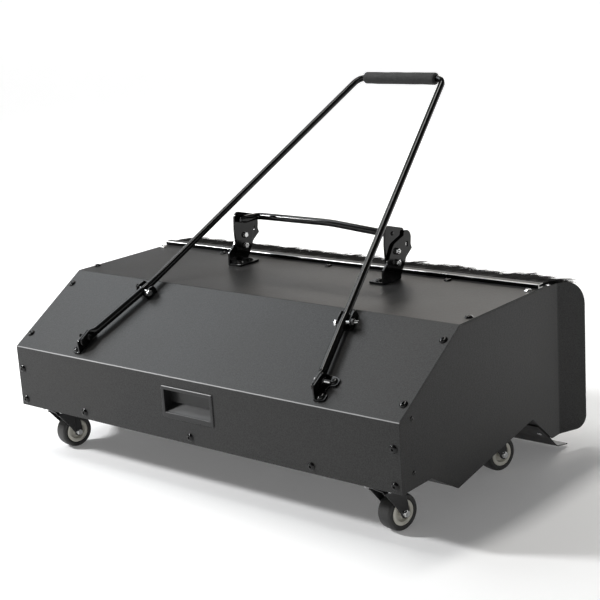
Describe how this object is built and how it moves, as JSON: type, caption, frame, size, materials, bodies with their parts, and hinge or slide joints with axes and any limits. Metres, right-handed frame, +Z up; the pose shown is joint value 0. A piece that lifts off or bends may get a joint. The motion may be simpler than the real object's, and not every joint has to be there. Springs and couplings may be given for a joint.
{
  "type": "sweeper dirt hopper",
  "caption": "Wheeled sheet-steel dirt box of a push sweeper with pull handle, hitch brackets, release bail and swivel casters.",
  "frame": {"origin": "on the ground under the centre of the object's box", "axes": "+Z up, +Y from the front panel with the grip recess towards the open rear, +X to the right as seen from the front"},
  "size_m": [0.8934, 0.6526, 0.6245],
  "materials": {
    "powder_coat": "fine textured satin powder coat",
    "gloss_black": "gloss black",
    "caster_steel": "black electrophoretic coat",
    "lip_rubber": "matte",
    "rail_steel": "bright rolled edge",
    "bristle": "fibres",
    "black_plastic": "fine grain",
    "foam": "closed-cell foam",
    "tyre": "matte",
    "hub_plastic": "moulded",
    "zinc": "bright zinc plate"
  },
  "bodies": {
    "box": {"hood_shell": "powder_coat", "side_panel_left": "powder_coat", "side_panel_right": "powder_coat", "bottom_tray": "powder_coat", "rear_lip": "lip_rubber", "rear_stiffener": "powder_coat", "handle_backing_bar": "powder_coat", "grip_cup": "black_plastic", "brush_rail": "rail_steel", "brush_bristles": "bristle", "handle_tube": "gloss_black", "foam_grip": "foam", "handle_foot_left": "gloss_black", "handle_foot_right": "gloss_black", "lower_tube_left": "gloss_black", "lower_tube_right": "gloss_black", "leg_bracket_left": "gloss_black", "leg_bracket_right": "gloss_black", "foot_bolt_left": "zinc", "foot_bolt_right": "zinc", "leg_bolt_left": "zinc", "leg_bolt_right": "zinc", "hook_plate_left": "gloss_black", "hook_plate_right": "gloss_black", "bar_plate_left": "gloss_black", "bar_plate_right": "gloss_black", "hitch_bolt_upper_left": "zinc", "hitch_bolt_upper_right": "zinc", "hitch_bolt_lower_left": "zinc", "hitch_bolt_lower_right": "zinc", "handle_foot_screw_1": "gloss_black", "handle_foot_screw_2": "gloss_black", "handle_foot_screw_3": "gloss_black", "handle_foot_screw_4": "gloss_black", "hitch_foot_screw_1": "gloss_black", "hitch_foot_screw_2": "gloss_black", "hitch_foot_screw_3": "gloss_black", "hitch_foot_screw_4": "gloss_black", "caster_plate_front_left": "caster_steel", "caster_plate_front_right": "caster_steel", "caster_plate_rear_left": "caster_steel", "caster_plate_rear_right": "caster_steel"},
    "bail": {"release_bail": "gloss_black"},
    "swivel_front_left": {"caster_fork_front_left": "caster_steel", "axle_bolt_front_left": "zinc"},
    "wheel_front_left": {"tyre_front_left": "tyre", "wheel_hub_front_left": "hub_plastic"},
    "swivel_front_right": {"caster_fork_front_right": "caster_steel", "axle_bolt_front_right": "zinc"},
    "wheel_front_right": {"tyre_front_right": "tyre", "wheel_hub_front_right": "hub_plastic"},
    "swivel_rear_left": {"caster_fork_rear_left": "caster_steel", "axle_bolt_rear_left": "zinc"},
    "wheel_rear_left": {"tyre_rear_left": "tyre", "wheel_hub_rear_left": "hub_plastic"},
    "swivel_rear_right": {"caster_fork_rear_right": "caster_steel", "axle_bolt_rear_right": "zinc"},
    "wheel_rear_right": {"tyre_rear_right": "tyre", "wheel_hub_rear_right": "hub_plastic"}
  },
  "joints": [
    {"name": "bail_hinge", "type": "hinge", "parent": "box", "child": "bail", "pos_m": [0, 0.0265, 0.385], "axis": [1, 0, 0], "range_deg": [0, 60]},
    {"name": "caster_swivel_front_left", "type": "hinge", "parent": "box", "child": "swivel_front_left", "pos_m": [-0.366, -0.2865, 0.0875], "axis": [0, 0, 1], "continuous": true},
    {"name": "wheel_spin_front_left", "type": "hinge", "parent": "swivel_front_left", "child": "wheel_front_left", "pos_m": [-0.36143, -0.26498, 0.03], "axis": [0.9781, -0.2079, 0], "continuous": true},
    {"name": "caster_swivel_front_right", "type": "hinge", "parent": "box", "child": "swivel_front_right", "pos_m": [0.366, -0.2865, 0.0875], "axis": [0, 0, 1], "continuous": true},
    {"name": "wheel_spin_front_right", "type": "hinge", "parent": "swivel_front_right", "child": "wheel_front_right", "pos_m": [0.37057, -0.26498, 0.03], "axis": [0.9781, -0.2079, 0], "continuous": true},
    {"name": "caster_swivel_rear_left", "type": "hinge", "parent": "box", "child": "swivel_rear_left", "pos_m": [-0.366, -0.0025, 0.0875], "axis": [0, 0, 1], "continuous": true},
    {"name": "wheel_spin_rear_left", "type": "hinge", "parent": "swivel_rear_left", "child": "wheel_rear_left", "pos_m": [-0.35848, 0.01817, 0.03], "axis": [0.9397, -0.342, 0], "continuous": true},
    {"name": "caster_swivel_rear_right", "type": "hinge", "parent": "box", "child": "swivel_rear_right", "pos_m": [0.366, -0.0025, 0.0875], "axis": [0, 0, 1], "continuous": true},
    {"name": "wheel_spin_rear_right", "type": "hinge", "parent": "swivel_rear_right", "child": "wheel_rear_right", "pos_m": [0.37169, 0.01875, 0.03], "axis": [0.9659, -0.2588, 0], "continuous": true}
  ]
}
